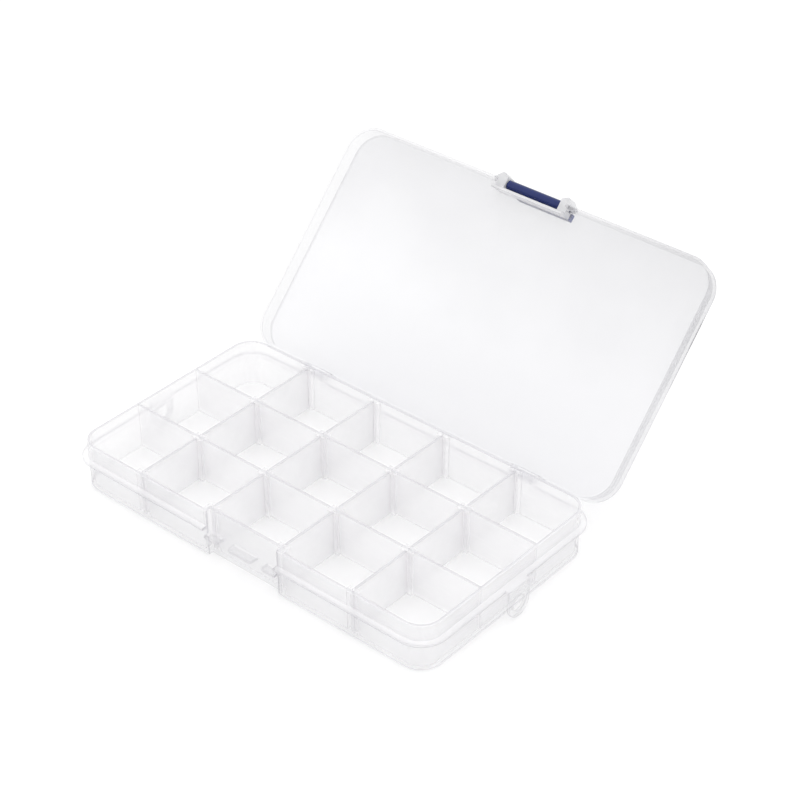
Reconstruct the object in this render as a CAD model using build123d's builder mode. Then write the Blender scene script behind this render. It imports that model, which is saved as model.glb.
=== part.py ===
from build123d import *
import os
from math import radians, tan

# Clear plastic storage box, 175 mm long: a shallow tray in three rows, twelve lift-out cross dividers
# that make fifteen compartments, a hinged lid shown open, and a blue latch that swings on the lid.
# Millimetres. Z is up, the tray stands on Z = 0 and is centred on X = Y = 0. The latch side is -Y, the
# hinge side is +Y.

# The tray
rim_length = 170.4
rim_width = 93.8
rim_height = 20.1
rim_corner = 9.0
wall = 1.2
floor = 1.0
draft_angle = 1.2
foot_round = 0.8
rim_round = 0.35
flange_drop = 6.5
flange_reach = 2.1
flange_thickness = 1.2

# Rows, columns and the slots that hold the cross dividers
row_names = ["front", "middle", "back"]
row_pitch = 31.2
row_wall = 1.1
column_pitch = 34.5
column_count = 5
divider_thickness = 1.2
divider_side_gap = 0.15
divider_end_gap = 0.25
divider_foot_gap = 0.1
divider_corner = 0.8
rib_width = 1.75
rib_reach = 1.3
top_step = 0.2

# The recess in the front wall that takes the latch, and the catch in it
recess_width = 34.6
recess_depth = 2.45
catch_width = 11.8
side_catch_width = 6.6
catch_reach = 4.15
catch_thickness = 1.2
catch_height = 8.7
catch_round = 1.2

# The ears that hang under the flange at both ends
ear_radius = 5.7
ear_bore = 3.25
ear_thickness = 1.2
ear_stand_off = 0.8
ear_foot_gap = 0.1

# The lid. Its reach is from the rim of the tray to the free edge of the skirt.
lid_reach_ends = 2.3
lid_reach_sides = 2.4
lid_corner = 12.0
lid_plate = 1.2
lid_wall = 1.1
lid_draft_angle = 4.0
lid_gap = 0.3
lid_recess_gap = 0.45
lid_round = 0.9
lid_inner_round = 0.8
lid_open_angle = 133.4

# The snap hinges at the back
hinge_out = 3.0
hinge_up = 1.6
hinge_spread = 104.0
rod_radius = 1.15
rod_fit = 0.05
knuckle_wall = 1.0
knuckle_length = 10.0
knuckle_gap = 0.4
arm_thickness = 1.2
arm_lap = 0.7
bracket_thickness = 1.6
bracket_radius = 2.0
window_gap = 0.7
mouth_start = -5.0
mouth_end = 50.0
stop_thickness = 1.4
stop_gap = 0.3

# The latch, and the lugs that carry it. The margin is from the end of the latch to the side of the recess.
latch_margin = 4.7
latch_set_in = 0.9
latch_drop = 2.8
barrel_radius = 2.05
latch_face = 1.87
latch_plate = 1.3
hook_reach = 1.2
hook_height = 2.2
hook_gap = 0.3
hook_round = 0.5
pin_radius = 1.1
pin_fit = 0.05
pin_length = 4.0
latch_side_gap = 0.3
lug_reach = 2.8
lug_rise = 2.2
lug_crest = 0.8
lug_inner_slope = 2.3
lug_inner_drop = 1.1
lug_outer_slope = 3.0
latch_rest_angle = 184.5

# Levels, faces and lines of the tray that follow from these sizes
lean = tan(radians(draft_angle))
foot_length = rim_length - 2 * rim_height * lean
foot_width = rim_width - 2 * rim_height * lean
foot_corner = rim_corner - rim_height * lean
inset = wall - floor * lean
wall_top = rim_height - top_step
front_y = -rim_width / 2
back_y = rim_width / 2
inner_y = foot_width / 2 - inset
recess_y = front_y + recess_depth
recess_half = recess_width / 2
flange_top = rim_height - flange_drop
flange_bottom = flange_top - flange_thickness
flange_length = rim_length + 2 * flange_reach
flange_width = rim_width + 2 * flange_reach
flange_root_y = back_y - (flange_drop + flange_thickness) * lean

row_count = len(row_names)
row_lines = [(i - (row_count - 2) / 2) * row_pitch for i in range(row_count - 1)]
column_lines = [(i - (column_count - 2) / 2) * column_pitch for i in range(column_count - 1)]
rib_offset = (divider_thickness + rib_width) / 2 + divider_side_gap
divider_foot = floor + divider_foot_gap

ear_x = flange_length / 2 + ear_stand_off
ear_hole_z = ear_radius + ear_foot_gap

# The same for the lid, the hinges and the latch, all as they lie with the box closed
lid_length = rim_length + 2 * lid_reach_ends
lid_width = rim_width + 2 * lid_reach_sides
lid_underside = rim_height + lid_gap
lid_top = lid_underside + lid_plate
lid_foot = flange_top + lid_gap
lid_recess_y = recess_y - lid_recess_gap - lid_wall
lid_recess_half = recess_half - lid_gap

hinge_y = back_y + hinge_out
hinge_z = flange_top + hinge_up
hinge_places = [-hinge_spread / 2, hinge_spread / 2]
knuckle_bore = rod_radius + rod_fit
knuckle_radius = knuckle_bore + knuckle_wall
bracket_inner = knuckle_length / 2 + knuckle_gap
bracket_outer = bracket_inner + bracket_thickness
window_top = hinge_z + bracket_radius + window_gap
stop_reach = hinge_out + (rim_height - hinge_z) * lean - stop_gap
stop_angle = lid_open_angle - 180

latch_width = recess_width - 2 * latch_margin
latch_y = -lid_width / 2 + latch_set_in
latch_z = lid_top - latch_drop
hook_top = catch_height - hook_gap - latch_z
hook_foot = hook_top - hook_height
lug_foot = lid_foot + lug_rise
lug_inner = latch_width / 2 + latch_side_gap
lug_front = -lid_width / 2 - lug_reach
lug_crest_x = lug_inner + lug_inner_slope
lug_end = lug_crest_x + lug_crest + lug_outer_slope

# Carried frames. The hinge frame and the latch frame sit on their turning lines. The lid frame is the
# ground plane of the closed box as the lid carries it, so lid sketches use the closed positions.
hinge_frame = Plane(origin=(0, hinge_y, hinge_z))
turned_frame = hinge_frame.rotated((-lid_open_angle, 0, 0))
lid_frame = Plane(turned_frame.from_local_coords(Vector(0, -hinge_y, -hinge_z)), turned_frame.x_dir,
                  turned_frame.z_dir)
hung_frame = Plane(lid_frame.from_local_coords(Vector(0, latch_y, latch_z)), lid_frame.x_dir,
                   lid_frame.z_dir)
latch_frame = hung_frame.rotated((-latch_rest_angle, 0, 0))
lid_up = Axis((0, 0, 0), lid_frame.z_dir)


def side_of(frame, x):
    """A sketch plane square to X, at x along it, with the Y and Z of the frame as its own axes."""
    return Plane(origin=frame.origin + frame.x_dir * x, x_dir=frame.y_dir, z_dir=frame.x_dir)


def front_face(x):
    """The inner face of the front wall on the column line at x. The latch recess brings it inwards."""
    if abs(x) < recess_half + wall:
        return recess_y + wall
    return -inner_y


def finish(builder, name):
    """Labels a finished piece and writes it under its own name."""
    builder.part.label = name
    export_step(builder.part, f"parts/{name}.step")


os.makedirs("parts", exist_ok=True)

# The hollow of the tray: the space inside its walls, less the wall that backs the latch recess
with BuildPart() as tray_hollow:
    with BuildSketch(Plane.XY.offset(floor)):
        RectangleRounded(foot_length - 2 * inset, foot_width - 2 * inset, foot_corner - inset)
    extrude(amount=rim_height, taper=-draft_angle)
    with BuildSketch():
        with Locations((0, front_y)):
            Rectangle(recess_width + 2 * wall, 2 * (recess_depth + wall))
    extrude(amount=2 * rim_height, mode=Mode.SUBTRACT)

# The tray, one moulding: floor, walls, row walls, slot ribs, flange, catch, ears, hinge brackets and rods
with BuildPart() as tray:
    with BuildSketch():
        RectangleRounded(foot_length, foot_width, foot_corner)
    extrude(amount=rim_height, taper=-draft_angle)
    fillet(tray.faces().sort_by(Axis.Z)[0].edges(), radius=foot_round)
    add(tray_hollow.part, mode=Mode.SUBTRACT)
    fillet(tray.faces().sort_by(Axis.Z)[-1].outer_wire().edges(), radius=rim_round)

    # Walls between the rows
    with BuildSketch(Plane.XY.offset(floor / 2)):
        with Locations([(0, y) for y in row_lines]):
            Rectangle(foot_length - wall, row_wall)
    extrude(amount=wall_top - floor / 2)

    # A pair of ribs at each end of each cross divider, with the slot for it between them
    with BuildSketch(Plane.XY.offset(floor / 2)):
        for line_x in column_lines:
            for rib_x in (line_x - rib_offset, line_x + rib_offset):
                with Locations([(rib_x, y) for y in row_lines]):
                    Rectangle(rib_width, row_wall + 2 * rib_reach)
                with Locations((rib_x, inner_y - rib_reach)):
                    Rectangle(rib_width, rib_reach + wall / 2, align=(Align.CENTER, Align.MIN))
                with Locations((rib_x, -inner_y - wall / 2)):
                    Rectangle(rib_width, front_face(line_x) + rib_reach + inner_y + wall / 2,
                              align=(Align.CENTER, Align.MIN))
    extrude(amount=wall_top - floor / 2)

    # The latch recess, through the full height of the front wall
    with BuildSketch():
        with Locations((0, recess_y)):
            Rectangle(recess_width, rim_width, align=(Align.CENTER, Align.MAX))
    extrude(amount=2 * rim_height, mode=Mode.SUBTRACT)

    # The flange under the lid, open at the latch recess and at the hinges
    with BuildSketch(Plane.XY.offset(flange_bottom)):
        RectangleRounded(flange_length, flange_width, rim_corner + flange_reach)
        RectangleRounded(rim_length - wall, rim_width - wall, rim_corner - wall / 2, mode=Mode.SUBTRACT)
        with Locations((0, recess_y)):
            Rectangle(recess_width, rim_width, align=(Align.CENTER, Align.MAX), mode=Mode.SUBTRACT)
        with Locations([(x, flange_root_y) for x in hinge_places]):
            Rectangle(2 * bracket_inner, rim_width, align=(Align.CENTER, Align.MIN), mode=Mode.SUBTRACT)
    extrude(amount=flange_thickness)

    # The catch for the latch: a ledge in the middle of the recess and one at each side of it
    with BuildSketch(Plane.XY.offset(catch_height)) as catch:
        with Locations((0, recess_y + wall / 2)):
            Rectangle(catch_width, catch_reach + wall / 2, align=(Align.CENTER, Align.MAX))
        with Locations((-recess_half, recess_y + wall / 2)):
            Rectangle(side_catch_width, catch_reach + wall / 2, align=(Align.MIN, Align.MAX))
        with Locations((recess_half, recess_y + wall / 2)):
            Rectangle(side_catch_width, catch_reach + wall / 2, align=(Align.MAX, Align.MAX))
        fillet(catch.vertices().group_by(Axis.Y)[0].sort_by(Axis.X)[1:-1], radius=catch_round)
    extrude(amount=catch_thickness)

    # Hanging ears, each on a web from the flange
    for side in (-1, 1):
        with BuildSketch(side_of(Plane.XY, side * (ear_x + ear_thickness / 2))):
            with Locations((0, ear_hole_z)):
                Circle(ear_radius)
                Rectangle(2 * ear_radius, flange_top - ear_hole_z, align=(Align.CENTER, Align.MIN))
                Circle(ear_bore, mode=Mode.SUBTRACT)
        extrude(amount=ear_thickness / 2, both=True)
    with BuildSketch(Plane.XY.offset(flange_bottom)):
        Rectangle(2 * ear_x + ear_thickness, 2 * ear_radius)
        Rectangle(flange_length - flange_reach, 2 * ear_radius, mode=Mode.SUBTRACT)
    extrude(amount=flange_thickness)

    # Hinge brackets, and the rods between them
    for hinge_x in hinge_places:
        for side in (-1, 1):
            with BuildSketch(side_of(hinge_frame, hinge_x + side * (bracket_inner + bracket_thickness / 2))):
                Circle(bracket_radius)
                with Locations((-hinge_out - wall / 2, flange_bottom - hinge_z)):
                    Rectangle(hinge_out + wall / 2, hinge_up + flange_thickness,
                              align=(Align.MIN, Align.MIN))
                make_hull()
            extrude(amount=bracket_thickness / 2, both=True)
        with BuildSketch(side_of(hinge_frame, hinge_x)):
            Circle(rod_radius)
        extrude(amount=bracket_inner + bracket_thickness / 2, both=True)
finish(tray, "tray")

# The cross dividers, one plate each, named by row and by column line from the left
for row, row_name in enumerate(row_names):
    for line, line_x in enumerate(column_lines):
        front_end = (front_face(line_x) if row == 0 else row_lines[row - 1] + row_wall / 2) + divider_end_gap
        back_end = (inner_y if row == row_count - 1 else row_lines[row] - row_wall / 2) - divider_end_gap
        with BuildPart() as divider:
            with BuildSketch(side_of(Plane.XY, line_x)) as outline:
                with Locations((front_end, divider_foot)):
                    Rectangle(back_end - front_end, wall_top - divider_foot, align=(Align.MIN, Align.MIN))
                chamfer(outline.vertices().group_by(Axis.Z)[0], length=divider_corner)
            extrude(amount=divider_thickness / 2, both=True)
        finish(divider, f"divider_{row_name}_{line + 1}")

# The hollow of the lid, less the wall that backs the latch recess
with BuildPart() as lid_hollow:
    with BuildSketch(lid_frame.offset(lid_foot)):
        RectangleRounded(lid_length - 2 * lid_wall, lid_width - 2 * lid_wall, lid_corner - lid_wall)
    extrude(amount=lid_underside - lid_foot, taper=lid_draft_angle)
    fillet(lid_hollow.faces().sort_by(lid_up)[-1].edges(), radius=lid_inner_round)
    with BuildSketch(lid_frame):
        with Locations((0, lid_recess_y + lid_wall)):
            Rectangle(2 * lid_recess_half, lid_width, align=(Align.CENTER, Align.MAX))
    extrude(amount=2 * rim_height, mode=Mode.SUBTRACT)

# The lid, one moulding: plate, skirt, latch recess with two lugs, and two hinge knuckles with stops
with BuildPart() as lid:
    with BuildSketch(lid_frame.offset(lid_foot)):
        RectangleRounded(lid_length, lid_width, lid_corner)
    extrude(amount=lid_top - lid_foot, taper=lid_draft_angle)
    fillet(lid.faces().sort_by(lid_up)[-1].edges(), radius=lid_round)
    add(lid_hollow.part, mode=Mode.SUBTRACT)
    with BuildSketch(lid_frame):
        with Locations((0, lid_recess_y)):
            Rectangle(2 * lid_recess_half, lid_width, align=(Align.CENTER, Align.MAX))
    extrude(amount=2 * rim_height, mode=Mode.SUBTRACT)

    # Lugs at both sides of the latch, and the holes for its pins
    with BuildSketch(lid_frame.offset(lug_foot)):
        for side in (-1, 1):
            Polygon((side * lug_inner, lid_recess_y + lid_wall / 2),
                    (side * lug_inner, lug_front + lug_inner_drop),
                    (side * lug_crest_x, lug_front),
                    (side * (lug_crest_x + lug_crest), lug_front),
                    (side * lug_end, lug_front + lug_outer_slope),
                    (side * (lid_recess_half + lid_wall), -lid_width / 2 + lid_wall / 2),
                    (side * lid_recess_half, front_y - lid_gap),
                    (side * lid_recess_half, lid_recess_y + lid_wall / 2), align=None)
    extrude(amount=lid_top - lug_foot)
    with BuildSketch(side_of(lid_frame, 0)):
        with Locations((latch_y, latch_z)):
            Circle(pin_radius + pin_fit)
    extrude(amount=lug_end, both=True, mode=Mode.SUBTRACT)

    # Windows in the back skirt, then the knuckles that snap over the rods
    with BuildSketch(lid_frame):
        with Locations([(x, lid_width / 2) for x in hinge_places]):
            Rectangle(2 * (bracket_outer + window_gap), 4 * lid_wall)
    extrude(amount=window_top, mode=Mode.SUBTRACT)
    for hinge_x in hinge_places:
        with BuildSketch(side_of(lid_frame, hinge_x)):
            with Locations((hinge_y, hinge_z)):
                Circle(knuckle_radius)
                Rectangle(stop_reach - stop_thickness / 2, stop_thickness, rotation=stop_angle,
                          align=(Align.MIN, Align.CENTER))
                with PolarLocations(stop_reach - stop_thickness / 2, 1, start_angle=stop_angle):
                    Circle(stop_thickness / 2)
            with Locations((hinge_y - knuckle_radius, hinge_z)):
                Rectangle(arm_thickness, window_top - hinge_z + arm_lap, align=(Align.MIN, Align.MIN))
            with Locations((hinge_y, hinge_z)):
                Circle(knuckle_bore, mode=Mode.SUBTRACT)
                Polygon((0, 0), Vector(2 * knuckle_radius, 0).rotate(Axis.Z, mouth_start),
                        Vector(2 * knuckle_radius, 0).rotate(Axis.Z, mouth_end), align=None,
                        mode=Mode.SUBTRACT)
        extrude(amount=knuckle_length / 2, both=True)
finish(lid, "lid")

# The latch: barrel, plate and hook, with a pin at each end. Its Y and Z run as it hangs on a closed box.
with BuildPart() as latch:
    with BuildSketch(side_of(latch_frame, 0)) as latch_side:
        Circle(barrel_radius)
        with Locations((-latch_face, hook_foot)):
            Rectangle(latch_plate, -hook_foot, align=(Align.MIN, Align.MIN))
            Rectangle(latch_face + hook_reach, hook_height, align=(Align.MIN, Align.MIN))
        fillet(latch_side.vertices().group_by(Axis.Y)[0], radius=hook_round)
    extrude(amount=latch_width / 2, both=True)
    with BuildSketch(side_of(latch_frame, 0)):
        Circle(pin_radius)
    extrude(amount=latch_width / 2 + pin_length, both=True)
finish(latch, "latch")
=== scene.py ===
"""Looks of the compartment storage box: plastic finishes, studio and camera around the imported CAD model."""
import logging
import math
from dataclasses import dataclass, field, replace
from enum import Enum
from typing import Any, Callable, Sequence, Union

import bpy
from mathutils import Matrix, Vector


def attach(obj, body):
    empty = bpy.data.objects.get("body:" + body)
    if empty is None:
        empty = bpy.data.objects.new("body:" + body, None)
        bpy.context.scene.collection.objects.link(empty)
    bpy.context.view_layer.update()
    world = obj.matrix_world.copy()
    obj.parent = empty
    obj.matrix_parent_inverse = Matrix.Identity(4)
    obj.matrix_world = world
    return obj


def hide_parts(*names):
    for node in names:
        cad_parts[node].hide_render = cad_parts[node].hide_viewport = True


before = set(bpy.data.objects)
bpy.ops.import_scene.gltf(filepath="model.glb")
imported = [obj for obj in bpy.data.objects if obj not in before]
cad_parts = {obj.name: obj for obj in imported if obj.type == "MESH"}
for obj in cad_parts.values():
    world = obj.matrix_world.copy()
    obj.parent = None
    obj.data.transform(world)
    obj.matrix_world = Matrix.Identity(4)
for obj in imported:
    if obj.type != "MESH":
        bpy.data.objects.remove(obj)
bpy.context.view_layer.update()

IMAGE_SIDE = 800
SENSOR_MM = 36.0
MM = 0.001
# A ray crosses many thin clear faces here, and past this number it would turn black
SEE_THROUGH_FACES = 64
PLASTIC_IOR = 1.49
NOISE_MIDDLE = 0.5
WHITE = (1.0, 1.0, 1.0, 1.0)
# A normal with more than this along an axis is taken to point that way
ALONG = 0.5
# Corners nearer than this to a cut, in metres, are taken as on it
CUT_THRESHOLD = 1e-6

log = logging.getLogger("storage_box")

Number = Union[int, float]
Colour = tuple[float, float, float]
Triple = tuple[float, float, float]
Change = dict[str, Any]
Value = Union[Number, Sequence[float], "Shade"]


class Part(Enum):
    """Which moulding a finish is for."""

    TRAY = "tray"
    DIVIDER = "divider"
    LID = "lid"
    LATCH = "latch"


class Surface(Enum):
    """Which surface of a moulding a finish is for."""

    FACE = "face"  # Plain faces
    FLOOR = "floor"  # The tray's floor, and its back wall and far foot, which are as clear: painted light there
    EDGE = "edge"  # Softened edges, darkened as painted shade, and painted shadow lines along the flange and the recess
    CREST = "crest"  # Tops of walls, the tray's near foot and the lid's rounding, darkened as painted shade, and the latch's ends, brightened as painted light
    OUTER = "outer"  # Outer walls towards the camera, and the lid's skirt, darkened as painted shade
    FAINT = "faint"  # The tray's left end, its ears and the tops of its catch, paler as painted light
    RIB = "rib"  # The tray's slot ribs
    LUG = "lug"  # The lid's lugs and recess wall


class Shade:
    """A socket of a material's node tree, so that patterns are written as sums and products."""

    def __init__(self, nodes: "Recipe", socket: bpy.types.NodeSocket) -> None:
        """Wraps one output socket.

        Args:
            nodes: The recipe that the socket belongs to.
            socket: The output socket.
        """
        self.nodes = nodes
        self.socket = socket

    def maths(self, operation: str, first: Value, second: Value = 0.0) -> "Shade":
        """Adds a Math node.

        Args:
            operation: The Math node's operation.
            first: Its first value.
            second: Its second value.

        Returns:
            The node's result.
        """
        return self.nodes.add("ShaderNodeMath", {"operation": operation}, {0: first, 1: second})

    def __add__(self, other: Value) -> "Shade":
        """This plus the other."""
        return self.maths("ADD", self, other)

    def __radd__(self, other: Value) -> "Shade":
        """The other plus this."""
        return self.maths("ADD", other, self)

    def __sub__(self, other: Value) -> "Shade":
        """This less the other."""
        return self.maths("SUBTRACT", self, other)

    def __rsub__(self, other: Value) -> "Shade":
        """The other less this."""
        return self.maths("SUBTRACT", other, self)

    def __mul__(self, other: Value) -> "Shade":
        """This times the other."""
        return self.maths("MULTIPLY", self, other)

    def __rmul__(self, other: Value) -> "Shade":
        """The other times this."""
        return self.maths("MULTIPLY", other, self)

    def __pow__(self, other: Value) -> "Shade":
        """This to the power of the other."""
        return self.maths("POWER", self, other)

    def most(self, other: Value) -> "Shade":
        """The larger of this and the other."""
        return self.maths("MAXIMUM", self, other)

    def least(self, other: Value) -> "Shade":
        """The smaller of this and the other."""
        return self.maths("MINIMUM", self, other)


class Recipe:
    """The node tree of one material or of the world."""

    # The numbers of a Mix node's colour sockets, whose names its other sockets share
    MIX_FIRST = 6
    MIX_SECOND = 7
    MIX_RESULT = 2

    def __init__(self, tree: bpy.types.NodeTree) -> None:
        """Empties the tree.

        Args:
            tree: The node tree to fill.
        """
        self.tree = tree
        tree.nodes.clear()

    def add(
        self,
        kind: str,
        settings: dict[str, Any],
        values: dict[Union[int, str], Value],
        output: Union[int, str] = 0,
    ) -> Shade:
        """Adds a node, sets it up and feeds its sockets.

        Args:
            kind: The node's type.
            settings: Its own settings.
            values: Plain values or links, by socket name or number.
            output: The output socket to hand back.

        Returns:
            The chosen output. For a node without outputs it is the first input.
        """
        node = self.tree.nodes.new(kind)
        for name, setting in settings.items():
            setattr(node, name, setting)
        for name, value in values.items():
            if isinstance(value, Shade):
                self.tree.links.new(value.socket, node.inputs[name])
            else:
                node.inputs[name].default_value = value
        return Shade(self, node.outputs[output]) if len(node.outputs) else Shade(self, node.inputs[0])

    def coordinates(self, turn: Triple = (0.0, 0.0, 0.0), scale: Triple = (1.0, 1.0, 1.0)) -> Shade:
        """The object's own coordinates.

        Args:
            turn: Turns the pattern, in radians.
            scale: Stretches the pattern.

        Returns:
            The turned and stretched coordinates.
        """
        place = self.add("ShaderNodeTexCoord", {}, {}, "Object")
        return self.add("ShaderNodeMapping", {}, {"Vector": place, "Rotation": turn, "Scale": scale})

    def noise(self, place: Shade, pitch_mm: float, detail: float = 2.0) -> Shade:
        """Cloudy noise.

        Args:
            place: The coordinates to read.
            pitch_mm: The size of one cloud.
            detail: How many finer layers are added.

        Returns:
            A level around 0.5.
        """
        values = {"Vector": place, "Scale": 1.0 / (pitch_mm * MM), "Detail": detail}
        return self.add("ShaderNodeTexNoise", {}, values, "Fac")

    def ramp(self, level: Shade, low: float, high: float) -> Shade:
        """A level stretched so that low is 0 and high is 1.

        Args:
            level: The level to stretch.
            low: What becomes 0.
            high: What becomes 1.

        Returns:
            The stretched level, kept within 0 and 1.
        """
        return self.add("ShaderNodeMapRange", {"clamp": True}, {"Value": level, "From Min": low, "From Max": high})

    def blend(self, share: Value, first: Value, second: Value) -> Shade:
        """Two colours mixed.

        Args:
            share: How much of the second shows.
            first: The first colour.
            second: The second colour.

        Returns:
            The mixed colour.
        """
        values = {"Factor": share, self.MIX_FIRST: self.opaque(first), self.MIX_SECOND: self.opaque(second)}
        return self.add("ShaderNodeMix", {"data_type": "RGBA"}, values, self.MIX_RESULT)

    @staticmethod
    def opaque(colour: Value) -> Value:
        """A plain colour with its fourth number, or a link as it is."""
        return colour if isinstance(colour, Shade) else (*colour, 1.0)

    def relief(self, height: Shade, strength: float, height_mm: float) -> Shade:
        """A fine relief on the surface.

        Args:
            height: The level of the relief.
            strength: How much of it shows.
            height_mm: How high it is where the level is 1.

        Returns:
            The normal to shade with.
        """
        values = {"Strength": strength, "Distance": height_mm * MM, "Height": height}
        return self.add("ShaderNodeBump", {}, values, "Normal")

    def plastic(self, values: dict[Union[int, str], Value]) -> None:
        """Ends the tree in a plastic surface.

        Args:
            values: Its plain values or links, by socket name.
        """
        surface = self.add("ShaderNodeBsdfPrincipled", {}, {**values, "IOR": PLASTIC_IOR})
        self.add("ShaderNodeOutputMaterial", {}, {"Surface": surface})


def new_material(name: str) -> tuple[bpy.types.Material, Recipe]:
    """Makes an empty material.

    Args:
        name: Its name.

    Returns:
        The material and its emptied node tree.
    """
    material = bpy.data.materials.new(name)
    material.use_nodes = True
    return material, Recipe(material.node_tree)


@dataclass(frozen=True)
class Scuffs:
    """Fine rubbed lines that run one way."""

    turn: float
    stretch: float
    pitch_mm: float
    low: float
    high: float
    height_stretch: float = 8.0

    def level(self, nodes: Recipe) -> Shade:
        """A level that is 1 on a line and 0 beside it."""
        place = nodes.coordinates((0.0, 0.0, self.turn), (1.0, self.stretch, self.height_stretch))
        return nodes.ramp(nodes.noise(place, self.pitch_mm, 1.0), self.low, self.high)


@dataclass(frozen=True)
class ClearPlastic:
    """Translucent moulded plastic: milky clouds, painted shade that grows darker one way, flow lines, scuffs and a
    fine grain.

    Attributes:
        density: How much of the surface hides what is behind it.
        cloud_density: What the thickest clouds add to that.
        rim_density: What is added where the surface is seen edge-on.
        densest: What the sum of them all can't pass.
        painted_shade_density: What the full painted shade adds. At 0 there is no painted shade.
        painted_shade_way: The way in which the painted shade grows darker, in the object's own directions.
        painted_shade_from_mm: Where along that way the painted shade begins.
        painted_shade_to_mm: Where along that way the painted shade is full.
        flow_clouds: The pitch of the flow lines, in clouds.
    """

    name: str
    tint: Colour
    cloud_tint: Colour
    density: float
    cloud_density: float
    rim_density: float
    roughness: float
    gloss_change: float
    cloud_mm: float
    grain_mm: float
    grain_height_mm: float
    scuff_density: float
    densest: float
    painted_shade_density: float = 0.0
    painted_shade_tint: Colour = (0.80, 0.795, 0.82)
    painted_shade_way: Triple = (0.0, 0.0, 1.0)
    painted_shade_from_mm: float = 0.0
    painted_shade_to_mm: float = 100.0
    painted_shade_border_mm: float = 8.0
    cloud_low: float = 0.35
    cloud_high: float = 0.65
    cloud_detail: float = 3.0
    flow_stretch: float = 6.0
    flow_clouds: float = 2.2
    flow_share: float = 0.3
    edge_on_blend: float = 0.25
    edge_on_power: float = 2.0
    grain_strength: float = 0.5
    scuff_roughness: float = 0.08
    scuffs_along: Scuffs = Scuffs(0.5, 26.0, 9.0, 0.64, 0.70)
    scuffs_across: Scuffs = Scuffs(-0.9, 30.0, 12.0, 0.65, 0.71)

    def make(self) -> bpy.types.Material:
        """Builds the material.

        Returns:
            The finished material.
        """
        material, nodes = new_material(self.name)
        place = nodes.coordinates()
        clouds = nodes.ramp(nodes.noise(place, self.cloud_mm, self.cloud_detail), self.cloud_low, self.cloud_high)
        flow = nodes.noise(nodes.coordinates(scale=(1.0, self.flow_stretch, 1.0)), self.flow_clouds * self.cloud_mm)
        grain = nodes.noise(place, self.grain_mm, 1.0)
        edge_on = nodes.add("ShaderNodeLayerWeight", {}, {"Blend": self.edge_on_blend}, "Facing")
        scuffs = self.scuffs_along.level(nodes).most(self.scuffs_across.level(nodes))
        mixed = (clouds * (1.0 - self.flow_share) + flow * self.flow_share).least(1.0)
        colour = nodes.blend(mixed, self.tint, self.cloud_tint)
        density = self.density + clouds * self.cloud_density + scuffs * self.scuff_density
        # Painted shade: darker and denser along one way
        if self.painted_shade_density:
            painted_shade = self.painted_shade(nodes, place, clouds)
            density = density + painted_shade * self.painted_shade_density
            colour = nodes.blend(painted_shade, colour, self.painted_shade_tint)
        density = (density + edge_on**self.edge_on_power * self.rim_density).least(self.densest)
        roughness = self.roughness + (flow - NOISE_MIDDLE) * self.gloss_change + scuffs * self.scuff_roughness
        normal = nodes.relief(grain, self.grain_strength, self.grain_height_mm)
        nodes.plastic({"Base Color": colour, "Roughness": roughness, "Alpha": density, "Normal": normal})
        return material

    def painted_shade(self, nodes: Recipe, place: Shade, clouds: Shade) -> Shade:
        """Painted shade that grows darker along its own direction, with a cloudy border.

        Args:
            nodes: The recipe to add to.
            place: The object's coordinates.
            clouds: The level of the clouds.

        Returns:
            A level from 0 to 1.
        """
        along = nodes.add("ShaderNodeVectorMath", {"operation": "DOT_PRODUCT"}, {0: place, 1: self.painted_shade_way}, "Value")
        border = (clouds - NOISE_MIDDLE) * (self.painted_shade_border_mm * MM)
        return nodes.ramp(along + border, self.painted_shade_from_mm * MM, self.painted_shade_to_mm * MM)


@dataclass(frozen=True)
class LatchPlastic:
    """Opaque blue moulded plastic with a soft shine and paler rubbed patches."""

    name: str
    colour: Colour
    rubbed: Colour
    roughness: float
    gloss_change: float = 0.2
    cloud_mm: float = 3.0
    cloud_low: float = 0.4
    cloud_high: float = 0.75
    cloud_detail: float = 3.0
    rubbed_share: float = 0.35
    scuff_stretch: float = 14.0
    scuff_mm: float = 6.0
    grain_mm: float = 0.25
    grain_height_mm: float = 0.005
    grain_strength: float = 0.4

    def make(self) -> bpy.types.Material:
        """Builds the material.

        Returns:
            The finished material.
        """
        material, nodes = new_material(self.name)
        place = nodes.coordinates()
        clouds = nodes.ramp(nodes.noise(place, self.cloud_mm, self.cloud_detail), self.cloud_low, self.cloud_high)
        grain = nodes.noise(place, self.grain_mm)
        scuffs = nodes.noise(nodes.coordinates(scale=(1.0, self.scuff_stretch, self.scuff_stretch)), self.scuff_mm)
        colour = nodes.blend(clouds * self.rubbed_share, self.colour, self.rubbed)
        roughness = self.roughness + (scuffs - NOISE_MIDDLE) * self.gloss_change
        normal = nodes.relief(grain, self.grain_strength, self.grain_height_mm)
        nodes.plastic({"Base Color": colour, "Roughness": roughness, "Normal": normal})
        return material


CLEAR_FACE = ClearPlastic(
    name="tray_face",
    tint=(0.985, 0.978, 0.992),
    cloud_tint=(0.965, 0.958, 0.972),
    density=0.265,
    cloud_density=0.02,
    rim_density=0.20,
    roughness=0.32,
    gloss_change=0.10,
    cloud_mm=14.0,
    grain_mm=0.35,
    grain_height_mm=0.01,
    scuff_density=0.006,
    densest=1.0,
)

# What the other clear finishes change. A finish whose density times its tint comes near a quarter turns ragged,
# because there the denoiser starts to take a see-through face for a solid one
FLOOR: Change = {"density": 0.075, "cloud_density": 0.015, "densest": 0.235}
# Painted shade: a dark finish for softened edges, the flange's bottom line and the recess's sides
EDGE: Change = {
    "tint": (0.55, 0.54, 0.575),
    "cloud_tint": (0.51, 0.50, 0.535),
    "density": 0.62,
    "rim_density": 0.0,
    "densest": 1.0,
}
# Painted shade: a darker finish for the tops of walls and the tray's near foot
CREST: Change = {**EDGE, "tint": (0.68, 0.67, 0.705), "cloud_tint": (0.64, 0.63, 0.665), "density": 0.50}
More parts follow.
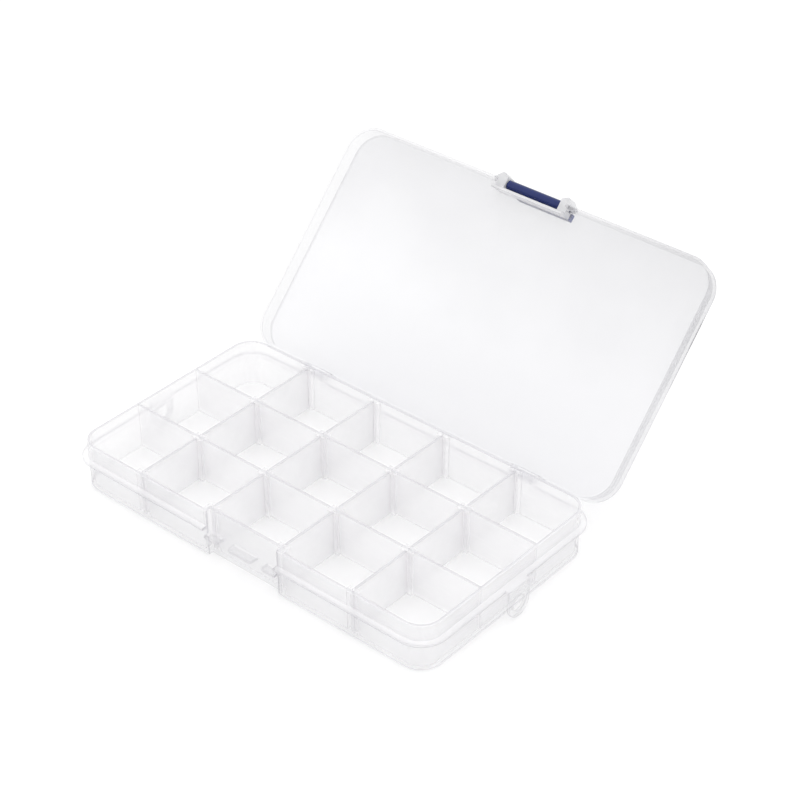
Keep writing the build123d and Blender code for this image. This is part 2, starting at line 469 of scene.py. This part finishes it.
# Painted light: a paler, clearer finish for the tray's left end, its ears and the tops of its catch
FAINT: Change = {"tint": (0.84, 0.835, 0.85), "cloud_tint": (0.81, 0.805, 0.82), "density": 0.15, "densest": 0.26}
# Painted shade: a darker finish for the outer walls towards the camera, the recess, the flange's sides and the sides
# of the ears and the catch
OUTER: Change = {"tint": (0.66, 0.655, 0.68), "cloud_tint": (0.63, 0.625, 0.65), "density": 0.19, "densest": 0.30}
RIB: Change = {"tint": (0.97, 0.963, 0.977), "cloud_tint": (0.955, 0.948, 0.962), "density": 0.275}
DIVIDER: Change = {
    "tint": (0.95, 0.943, 0.957),
    "cloud_tint": (0.93, 0.923, 0.937),
    "roughness": 0.36,
    "cloud_mm": 11.0,
    "grain_mm": 0.3,
}
LID: Change = {
    "tint": (0.815, 0.812, 0.845),
    "cloud_tint": (0.805, 0.802, 0.835),
    "density": 0.22,
    "cloud_density": 0.008,
    "rim_density": 0.12,
    "densest": 0.265,
    "scuff_density": 0.003,
    "roughness": 0.18,
    "cloud_mm": 30.0,
    "grain_mm": 0.5,
    "grain_height_mm": 0.004,
    # Painted shade: the open lid grows darker towards its upper edge
    "painted_shade_density": 0.05,
    "painted_shade_tint": (0.56, 0.557, 0.59),
    "painted_shade_way": (0.08, 0.687, 0.727),
    "painted_shade_from_mm": 84.0,
    "painted_shade_to_mm": 142.0,
}
# Painted shade: the skirt is a darker copy of the lid's plastic
LID_SKIRT: Change = {
    "tint": (0.74, 0.735, 0.76),
    "cloud_tint": (0.70, 0.695, 0.72),
    "density": 0.13,
    "rim_density": 0.55,
    "densest": 0.80,
    # Painted shade: the skirt grows darker towards its right end
    "painted_shade_density": 0.10,
    "painted_shade_tint": (0.50, 0.495, 0.52),
    "painted_shade_way": (0.85, 0.20, 0.45),
    "painted_shade_from_mm": 60.0,
    "painted_shade_to_mm": 125.0,
}
# Painted shade: the dark rounding around the lid's plate
LID_ROUND: Change = {
    "tint": (0.52, 0.51, 0.55),
    "cloud_tint": (0.46, 0.45, 0.49),
    "density": 0.34,
    "rim_density": 0.0,
    "densest": 1.0,
    # Painted shade: a near-black line at the right end of the rounding
    "painted_shade_density": 0.66,
    "painted_shade_tint": (0.04, 0.04, 0.05),
    "painted_shade_way": (1.0, 0.0, 0.1),
    "painted_shade_from_mm": 88.5,
    "painted_shade_to_mm": 94.0,
}
LID_LUG: Change = {
    "tint": (0.80, 0.80, 0.815),
    "cloud_tint": (0.77, 0.77, 0.785),
    "density": 0.80,
    "densest": 1.0,
    "painted_shade_density": 0.0,
}


def clear(name: str, *changes: Change) -> ClearPlastic:
    """Makes a variant of the plain clear plastic.

    Args:
        name: The name of its material.
        changes: The values that differ, where a later change goes over an earlier one.

    Returns:
        The variant.
    """
    return replace(CLEAR_FACE, name=name, **{key: value for change in changes for key, value in change.items()})


FINISHES: dict[Part, dict[Surface, Union[ClearPlastic, LatchPlastic]]] = {
    Part.TRAY: {
        Surface.FACE: CLEAR_FACE,
        Surface.FLOOR: clear("tray_floor", FLOOR),
        Surface.EDGE: clear("tray_edge", EDGE),
        Surface.CREST: clear("tray_crest", CREST),
        Surface.OUTER: clear("tray_outer_wall", OUTER),
        Surface.FAINT: clear("tray_painted_light", FAINT),
        Surface.RIB: clear("tray_rib", RIB),
    },
    Part.DIVIDER: {
        Surface.FACE: clear("divider_face", DIVIDER),
        Surface.EDGE: clear("divider_edge", DIVIDER, EDGE),
        Surface.CREST: clear("divider_crest", DIVIDER, CREST),
    },
    Part.LID: {
        Surface.FACE: clear("lid_face", LID),
        Surface.EDGE: clear("lid_edge", LID, EDGE),
        Surface.CREST: clear("lid_round", LID, LID_ROUND),
        Surface.OUTER: clear("lid_skirt", LID, LID_SKIRT),
        Surface.LUG: clear("lid_lug", LID, LID_LUG),
    },
    Part.LATCH: {
        Surface.FACE: LatchPlastic("latch_face", (0.002, 0.013, 0.115), (0.012, 0.03, 0.15), roughness=0.15),
        # Painted shade: the latch's softened edges are a darker navy
        Surface.EDGE: LatchPlastic("latch_edge", (0.001, 0.004, 0.035), (0.006, 0.012, 0.06), roughness=0.24),
        # Painted light: the latch's ends are a brighter blue
        Surface.CREST: LatchPlastic("latch_end", (0.012, 0.045, 0.24), (0.025, 0.06, 0.27), roughness=0.24),
    },
}


@dataclass
class Moulding:
    """A CAD node as it leaves the mould: the same solid with softened edges and its own finishes.

    Attributes:
        node: The CAD node's name.
        part: Which moulding it is.
        body: The body that it rides on.
        slot: The name of its material slot. It is not used.
        edge_mm: How wide a softened edge is.
        sharp_degrees: Only edges sharper than this are softened.
        smooth_degrees: Edges flatter than this are shaded smoothly.
        merge_mm: Corners nearer than this are one corner.
        flat_degrees: Triangles that meet flatter than this are joined into one face.
        join_faces: Whether they are joined at all.
    """

    node: str
    part: Part
    body: str
    slot: str
    edge_mm: float = 0.08
    sharp_degrees: float = 30.0
    smooth_degrees: float = 60.0
    merge_mm: float = 0.002
    flat_degrees: float = 0.5
    edge_rings: int = 2
    face_weight: int = 100
    join_faces: bool = True

    def build(self) -> bpy.types.Object:
        """Makes the piece, dresses it and puts it in the node's place.

        Returns:
            The finished piece.
        """
        piece = self.copy_node()
        slots = self.dress(piece)
        self.soften(piece, slots)
        self.divide(piece)
        for face in piece.data.polygons:
            if face.material_index != slots[Surface.EDGE]:
                face.material_index = slots[self.surface_of(face.center, face.normal)]
            elif self.quiet_edge(face.center, face.normal):
                face.material_index = slots[Surface.FACE]
        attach(piece, self.body)
        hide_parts(self.node)
        log.info("%s: %d faces", piece.name, len(piece.data.polygons))
        return piece

    def copy_node(self) -> bpy.types.Object:
        """Copies the node's mesh into a new object.

        Returns:
            The new object, selected and active.
        """
        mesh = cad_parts[self.node].data.copy()
        mesh.materials.clear()
        piece = bpy.data.objects.new(f"{self.node}_moulding", mesh)
        bpy.context.scene.collection.objects.link(piece)
        bpy.ops.object.select_all(action="DESELECT")
        piece.select_set(True)
        bpy.context.view_layer.objects.active = piece
        return piece

    def dress(self, piece: bpy.types.Object) -> dict[Surface, int]:
        """Gives the piece the finishes of its part.

        Args:
            piece: The copy of the node.

        Returns:
            The mesh's slot of each surface.
        """
        slots: dict[Surface, int] = {}
        for surface, finish in FINISHES[self.part].items():
            slots[surface] = len(piece.data.materials)
            piece.data.materials.append(finish.make())
        return slots

    def soften(self, piece: bpy.types.Object, slots: dict[Surface, int]) -> None:
        """Joins the loose triangles and rounds their sharp edges.

        Args:
            piece: The copy of the node.
            slots: The mesh's slot of each surface.
        """
        if piece.data.has_custom_normals:
            bpy.ops.mesh.customdata_custom_splitnormals_clear()
        bpy.ops.object.mode_set(mode="EDIT")
        bpy.ops.mesh.select_all(action="SELECT")
        bpy.ops.mesh.remove_doubles(threshold=self.merge_mm * MM)
        if self.join_faces:
            bpy.ops.mesh.dissolve_limited(angle_limit=math.radians(self.flat_degrees), delimit={"NORMAL"})
        bpy.ops.object.mode_set(mode="OBJECT")
        bevel = piece.modifiers.new("soft_edges", "BEVEL")
        bevel.width = self.edge_mm * MM
        bevel.segments = self.edge_rings
        bevel.limit_method = "ANGLE"
        bevel.angle_limit = math.radians(self.sharp_degrees)
        bevel.use_clamp_overlap = False
        bevel.material = slots[Surface.EDGE]
        bpy.ops.object.modifier_apply(modifier=bevel.name)
        bpy.ops.object.shade_smooth_by_angle(angle=math.radians(self.smooth_degrees))
        shading = piece.modifiers.new("even_shading", "WEIGHTED_NORMAL")
        shading.weight = self.face_weight
        shading.keep_sharp = True
        bpy.ops.object.modifier_apply(modifier=shading.name)

    def quiet_edge(self, centre: Vector, normal: Vector) -> bool:
        """Whether a softened edge has the finish of the faces beside it. On a plain moulding none has."""
        return False

    def divide(self, piece: bpy.types.Object) -> None:
        """Divides faces whose parts get different finishes. A plain moulding has none.

        Args:
            piece: The softened piece.
        """

    @staticmethod
    def cut(piece: bpy.types.Object, chosen: Callable[[Vector, Vector], bool], normal: Triple, mm: float) -> None:
        """Cuts some faces along a plane.

        Args:
            piece: The piece in object mode.
            chosen: Says from a face's middle and normal whether it is cut.
            normal: The plane's normal, along an axis.
            mm: Where the plane is along its normal.
        """
        bpy.ops.object.mode_set(mode="EDIT")
        bpy.ops.mesh.select_mode(type="FACE")
        bpy.ops.mesh.select_all(action="DESELECT")
        bpy.ops.object.mode_set(mode="OBJECT")
        for face in piece.data.polygons:
            face.select = chosen(face.center, face.normal)
        bpy.ops.object.mode_set(mode="EDIT")
        bpy.ops.mesh.bisect(plane_co=Vector(normal) * (mm * MM), plane_no=normal, threshold=CUT_THRESHOLD)
        bpy.ops.object.mode_set(mode="OBJECT")

    def surface_of(self, centre: Vector, normal: Vector) -> Surface:
        """Tells which surface a face belongs to. Here every face is a plain one.

        Args:
            centre: The middle of the face.
            normal: Its normal.

        Returns:
            The surface.
        """
        return Surface.FACE


@dataclass
class WallMoulding(Moulding):
    """A moulding with upright walls, whose top faces are crests."""

    crest_above_mm: float = 12.0
    level: float = 0.98

    def crest(self, centre: Vector, normal: Vector) -> bool:
        """Whether a face is a top face of a wall."""
        return normal.z > self.level and centre.z > self.crest_above_mm * MM

    def surface_of(self, centre: Vector, normal: Vector) -> Surface:
        """The top faces of the walls are crests, darkened as painted shade, and the others are plain."""
        return Surface.CREST if self.crest(centre, normal) else Surface.FACE


@dataclass
class TrayMoulding(WallMoulding):
    """The tray. Its outer walls towards the camera are darker as painted shade, with painted shade in dark lines
    along the flange, the foot and the recess. Its left end is faint, as painted light.

    Attributes:
        level: The least height of a level face's normal.
        steep: The greatest height of a wall's normal.
        flange_steep: The same for the flange's sides.
        sideways: The least sideways part of the normal of a side of the recess.
        foot_from: The least height of a normal in the rounding at the foot.
        foot_to: The greatest height of one.
        foot_aside: The foot is darkened as painted shade where its normal leans more than this to the right or the
            front.
    """

    crest_above_mm: float = 19.0
    steep: float = 0.3
    flange_steep: float = 0.2
    sideways: float = 0.95
    foot_from: float = -0.95
    foot_to: float = -0.1
    foot_aside: float = 0.05
    ear_x_mm: float = 87.5
    recess_half_mm: float = 17.3
    recess_band_mm: float = 0.1
    recess_margin_mm: float = 1.3
    recess_side_y_mm: float = -44.0
    recess_wall_y_mm: float = -43.9
    catch_y_mm: float = -44.6
    catch_low_mm: float = 8.6
    catch_high_mm: float = 10.0
    row_y_mm: float = 15.6
    row_half_mm: float = 0.56
    rim_mm: float = 20.0
    inside_x_mm: float = 83.0
    inside_y_mm: float = 45.3
    end_x_mm: float = 84.2
    outer_y_mm: float = 45.9
    corner_x_mm: float = 76.0
    corner_y_mm: float = -37.5
    front_y_mm: float = -46.0
    flange_low_mm: float = 12.4
    flange_high_mm: float = 13.6
    flange_line_mm: float = 0.38
    foot_mm: float = 0.78
    floor_mm: float = 1.5
    line_pitch_mm: float = 34.5
    line_offset_mm: float = 17.25
    last_line_mm: float = 60.0
    rib_half_mm: float = 2.6
    rib_reach_mm: float = 1.9
    wall_rib_y_mm: float = 42.3

    def flange_side(self, centre: Vector, normal: Vector) -> bool:
        """Whether a face is an outer side of the flange."""
        return abs(normal.z) < self.flange_steep and self.flange_low_mm < centre.z / MM < self.flange_high_mm

    def recess_side(self, centre: Vector, normal: Vector) -> bool:
        """Whether a face is a side of the latch recess."""
        at_side = abs(abs(centre.x) / MM - self.recess_half_mm) < self.recess_band_mm
        return at_side and abs(normal.x) > self.sideways and centre.y < self.recess_side_y_mm * MM

    def at_rib(self, centre: Vector) -> bool:
        """Tells whether a place is among the ribs that hold the ends of the dividers.

        Args:
            centre: The middle of a face.

        Returns:
            Whether it is near a divider's line and near a wall that has ribs.
        """
        x, y = abs(centre.x) / MM, abs(centre.y) / MM
        past_line = (x + self.line_offset_mm) % self.line_pitch_mm
        near_line = min(past_line, self.line_pitch_mm - past_line) < self.rib_half_mm and x < self.last_line_mm
        near_wall = abs(y - self.row_y_mm) < self.rib_reach_mm or self.wall_rib_y_mm < y < self.inside_y_mm
        return near_line and near_wall

    def quiet_edge(self, centre: Vector, normal: Vector) -> bool:
        """The edges of the ribs, and the upright ones inside the box, are as soft as its faces."""
        inside = abs(centre.x) < self.inside_x_mm * MM and abs(centre.y) < self.inside_y_mm * MM
        return inside and (self.at_rib(centre) or abs(normal.z) < ALONG)

    def divide(self, piece: bpy.types.Object) -> None:
        """Divides the tops of the walls from those of the ribs, and lines off the strips of the flange and the recess
        that get painted shadow.

        Args:
            piece: The softened piece.
        """
        for row in (-self.row_y_mm, self.row_y_mm):
            for side in (-self.row_half_mm, self.row_half_mm):
                self.cut(piece, self.crest, (0.0, 1.0, 0.0), row + side)
        self.cut(piece, self.flange_side, (0.0, 0.0, 1.0), self.flange_low_mm + self.flange_line_mm)
        self.cut(piece, self.recess_side, (0.0, 1.0, 0.0), self.front_y_mm)

    def surface_of(self, centre: Vector, normal: Vector) -> Surface:
        """Sorts the faces by where they are on the tray.

        Args:
            centre: The middle of the face.
            normal: Its normal.

        Returns:
            The surface.
        """
        x, y, z = abs(centre.x) / MM, centre.y / MM, centre.z / MM
        # The catch: painted light on its tops, painted shade on its sides
        if x < self.recess_half_mm and y < self.catch_y_mm and self.catch_low_mm < z < self.catch_high_mm:
            return Surface.FAINT if normal.z > ALONG else Surface.OUTER
        # The ears: painted light on the faces along x, painted shade on the others
        if x > self.ear_x_mm and z < self.flange_low_mm:
            return Surface.OUTER if abs(normal.x) < ALONG else Surface.FAINT
        # Painted shadow: dark lines along the bottom of the flange and down the sides of the recess
        if self.flange_side(centre, normal):
            return Surface.EDGE if z < self.flange_low_mm + self.flange_line_mm else Surface.OUTER
        if self.recess_side(centre, normal) and y < self.front_y_mm:
            return Surface.EDGE
        # Painted shade darkens the near foot; the far foot gets the floor's clearer finish as painted light
        if z < self.foot_mm and self.foot_from < normal.z < self.foot_to:
            return Surface.CREST if normal.x > self.foot_aside or normal.y < -self.foot_aside else Surface.FLOOR
        if z < self.floor_mm and abs(normal.z) > self.level:
            return Surface.FLOOR
        if self.crest(centre, normal):
            on_row = abs(abs(y) - self.row_y_mm) < self.row_half_mm
            return Surface.CREST if on_row or z > self.rim_mm else Surface.FACE
        return self.wall_surface(centre, normal) if abs(normal.z) < self.steep else Surface.FACE

    def wall_surface(self, centre: Vector, normal: Vector) -> Surface:
        """Sorts the upright faces.

        Args:
            centre: The middle of the face.
            normal: Its normal.

        Returns:
            The surface.
        """
        x, y = centre.x / MM, centre.y / MM
        if self.at_rib(centre):
            return Surface.RIB
        in_recess = abs(x) < self.recess_half_mm + self.recess_margin_mm and y < self.recess_wall_y_mm
        at_corner = abs(x) > self.corner_x_mm and y < self.corner_y_mm and centre.x * normal.x > 0.0 > normal.y
        # Painted shade: the right end, the front wall, the recess and the front corners get the darker outer finish
        if x > self.end_x_mm or y < -self.outer_y_mm or in_recess or at_corner:
            return Surface.OUTER
        # Painted light: the left end gets a paler, clearer finish
        if x < -self.end_x_mm:
            return Surface.FAINT
        # Painted light: the back wall gets the floor's clearer finish
        return Surface.FLOOR if y > self.outer_y_mm else Surface.FACE


@dataclass
class LidMoulding(Moulding):
    """The lid, with its skirt, the rounding around its plate darkened as painted shade, and the milky lugs and recess
    wall.

    Attributes:
        hinge_y: The hinge's place in metres, and likewise hinge_z.
        foot_mm: The height of the skirt's free edge on the closed lid.
        round_mm: The height above which the plate's rounding begins on the closed lid.
        steep: The greatest height of the skirt's normal.
        level: The least height of the plate's normal.
    """

    hinge_y: float = 0.0499
    hinge_z: float = 0.0152
    open_degrees: float = 133.4
    hinge_reach_mm: float = 2.8
    foot_mm: float = 13.9
    foot_reach_mm: float = 0.2
    round_mm: float = 20.6
    lug_half_mm: float = 18.2
    lug_y_mm: float = -44.7
    recess_half_mm: float = 19.5
    recess_y_mm: float = -49.4
    steep: float = 0.3
    level: float = 0.97

    def closed(self, vector: Vector, point: bool) -> Vector:
        """Turns a place or a direction back to the closed box.

        Args:
            vector: A place or a direction on the open lid.
            point: Whether it is a place.

        Returns:
            The same on the closed lid.
        """
        turn = math.radians(self.open_degrees)
        hinge = Vector((0.0, self.hinge_y, self.hinge_z)) if point else Vector((0.0, 0.0, 0.0))
        x, y, z = vector - hinge
        return hinge + Vector(
            (x, y * math.cos(turn) - z * math.sin(turn), y * math.sin(turn) + z * math.cos(turn))
        )

    def surface_of(self, centre: Vector, normal: Vector) -> Surface:
        """Sorts the faces by where they are on the closed lid.

        Args:
            centre: The middle of the face on the open lid.
            normal: Its normal there.

        Returns:
            The surface.
        """
        place, facing = self.closed(centre, True) / MM, self.closed(normal, False)
        at_lug = place.y < self.lug_y_mm and abs(place.x) < self.lug_half_mm
        at_recess = place.y < self.recess_y_mm and abs(place.x) < self.recess_half_mm
        if at_lug or at_recess:
            return Surface.LUG
        if place.y > self.hinge_y / MM - self.hinge_reach_mm:
            return Surface.FACE
        # Painted shade: the skirt and its free edge get the darker finish
        if abs(facing.z) < self.steep or abs(place.z - self.foot_mm) < self.foot_reach_mm:
            return Surface.OUTER
        # Painted shade: the rounding around the plate gets the dark finish
        if place.z > self.round_mm and facing.z < self.level:
            return Surface.CREST
        return Surface.FACE


@dataclass
class LatchMoulding(Moulding):
    """The latch, whose ends are painted a brighter blue than its polished sides, as painted light."""

    sideways: float = 0.9
    barrel_y: float = 0.1201
    barrel_z: float = 0.0842
    barrel_mm: float = 2.6

    def surface_of(self, centre: Vector, normal: Vector) -> Surface:
        """The ends of the plate and the hook are brighter than the rest, as painted light."""
        from_barrel = math.hypot(centre.y - self.barrel_y, centre.z - self.barrel_z) / MM
        at_end = abs(normal.x) > self.sideways and from_barrel > self.barrel_mm
        return Surface.CREST if at_end else Surface.FACE


@dataclass
class Tray:
    """The shallow tray with its row walls, ribs, flange, catch and ears."""

    body: str = "tray"

    def build(self) -> None:
        """Builds the tray."""
        TrayMoulding("tray", Part.TRAY, self.body, "tray_plastic").build()


@dataclass
class Dividers:
    """The twelve cross dividers."""

    rows: tuple[str, ...] = ("front", "middle", "back")
    lines: int = 4

    def build(self) -> None:
        """Builds every divider."""
        for row in self.rows:
            for line in range(1, self.lines + 1):
                name = f"divider_{row}_{line}"
                WallMoulding(name, Part.DIVIDER, name, "divider_plastic").build()


@dataclass
class Lid:
    """The hinged lid with its skirt, lugs and knuckles."""

    body: str = "lid"

    def build(self) -> None:
        """Builds the lid."""
        LidMoulding("lid", Part.LID, self.body, "lid_plastic", join_faces=False).build()


@dataclass
class Latch:
    """The blue latch on the lid."""

    body: str = "latch"

    def build(self) -> None:
        """Builds the latch."""
        LatchMoulding("latch", Part.LATCH, self.body, "latch_plastic").build()


@dataclass
class SoftLamp:
    """One large soft lamp."""

    name: str
    place: Triple
    aim: Triple
    width: float
    height: float
    power: float
    tint: Colour = (1.0, 1.0, 1.0)

    def build(self) -> None:
        """Adds the lamp, turned towards its aim."""
        data = bpy.data.lights.new(self.name, "AREA")
        data.shape = "RECTANGLE"
        data.size, data.size_y = self.width, self.height
        data.energy = self.power
        data.color = self.tint
        lamp = bpy.data.objects.new(self.name, data)
        lamp.visible_glossy = False
        lamp.location = self.place
        lamp.rotation_euler = (Vector(self.aim) - Vector(self.place)).to_track_quat("-Z", "Y").to_euler()
        bpy.context.scene.collection.objects.link(lamp)


@dataclass
class Studio:
    """Floor, world, lamps and the camera of the photograph.

    Attributes:
        floor_drop: How far the floor is below the object, so that the two don't share a plane.
        world_level: The world's strength where it only lights. Where it is seen it is 1.
        floor_lift: What the floor is lifted by towards white where it is seen.
        clip: The nearest and the farthest that the camera sees.
    """

    floor_side: float = 12.0
    floor_drop: float = 0.0002
    floor_colour: Colour = (0.92, 0.92, 0.92)
    world_level: float = 1.0
    floor_lift: float = 0.075
    focal_mm: float = 2186.17 / IMAGE_SIDE * SENSOR_MM
    camera_place: Triple = (0.4390, -0.47283, 0.50054)
    azimuth: float = 40.56
    elevation: float = 34.84
    clip: tuple[float, float] = (0.01, 50.0)
    lamps: list[SoftLamp] = field(
        default_factory=lambda: [
            SoftLamp("lamp_above", (0.0, 0.10, 1.5), (0.0, 0.0, 0.0), 1.6, 1.6, 3.2),
            SoftLamp("lamp_front", (0.9, -1.2, 1.2), (0.0, 0.0, 0.02), 1.0, 1.0, 1.5),
        ]
    )

    def build(self) -> None:
        """Builds the floor, the light and the camera."""
        self.make_floor()
        self.make_world()
        for lamp in self.lamps:
            lamp.build()
        self.make_camera()

    def seen(self, nodes: Recipe) -> Shade:
        """A level that is 1 for rays that show the background: from the camera, or by a reflection or clear plastic.

        Args:
            nodes: The recipe to add to.

        Returns:
            The level.
        """
        camera = nodes.add("ShaderNodeLightPath", {}, {}, "Is Camera Ray")
        glossy = nodes.add("ShaderNodeLightPath", {}, {}, "Is Glossy Ray")
        passed = nodes.add("ShaderNodeLightPath", {}, {}, "Is Transmission Ray")
        return camera.most(glossy).most(passed)

    def make_floor(self) -> None:
        """Adds the pale floor. To the camera it is white, less the shadow that falls on it."""
        bpy.ops.object.select_all(action="DESELECT")
        bpy.ops.mesh.primitive_plane_add(size=self.floor_side, location=(0.0, 0.0, -self.floor_drop))
        floor = bpy.context.object
        floor.name = "floor"
        material, nodes = new_material("floor_white")
        matt = nodes.add("ShaderNodeBsdfDiffuse", {}, {"Color": nodes.opaque(self.floor_colour)})
        lift = nodes.add("ShaderNodeEmission", {}, {"Color": WHITE, "Strength": self.seen(nodes) * self.floor_lift})
        surface = nodes.add("ShaderNodeAddShader", {}, {0: matt, 1: lift})
        nodes.add("ShaderNodeOutputMaterial", {}, {"Surface": surface})
        floor.data.materials.append(material)

    def make_world(self) -> None:
        """Makes the world, which is white where it is seen."""
        world = bpy.data.worlds.new("studio")
        world.use_nodes = True
        bpy.context.scene.world = world
        nodes = Recipe(world.node_tree)
        strength = self.world_level + self.seen(nodes) * (1.0 - self.world_level)
        light = nodes.add("ShaderNodeBackground", {}, {"Color": WHITE, "Strength": strength})
        nodes.add("ShaderNodeOutputWorld", {}, {"Surface": light})

    def make_camera(self) -> None:
        """Adds the camera where the photograph was taken from."""
        azimuth, elevation = math.radians(self.azimuth), math.radians(self.elevation)
        back = Vector(
            (math.sin(azimuth) * math.cos(elevation), -math.cos(azimuth) * math.cos(elevation), math.sin(elevation))
        )
        data = bpy.data.cameras.new("camera")
        data.sensor_width = SENSOR_MM
        data.lens = self.focal_mm
        data.clip_start, data.clip_end = self.clip
        camera = bpy.data.objects.new("camera", data)
        camera.location = self.camera_place
        camera.rotation_mode = "QUATERNION"
        camera.rotation_quaternion = (-back).to_track_quat("-Z", "Y")
        bpy.context.scene.collection.objects.link(camera)
        bpy.context.scene.camera = camera


def main() -> None:
    """Builds the looks in order."""
    logging.basicConfig(level=logging.INFO, format="%(name)s: %(message)s")
    scene = bpy.context.scene
    scene.view_settings.view_transform = "Standard"
    scene.cycles.transparent_max_bounces = SEE_THROUGH_FACES
    for part in (Tray(), Dividers(), Lid(), Latch(), Studio()):
        part.build()
        log.info("%s is ready", type(part).__name__)


if __name__ == "__main__":
    main()
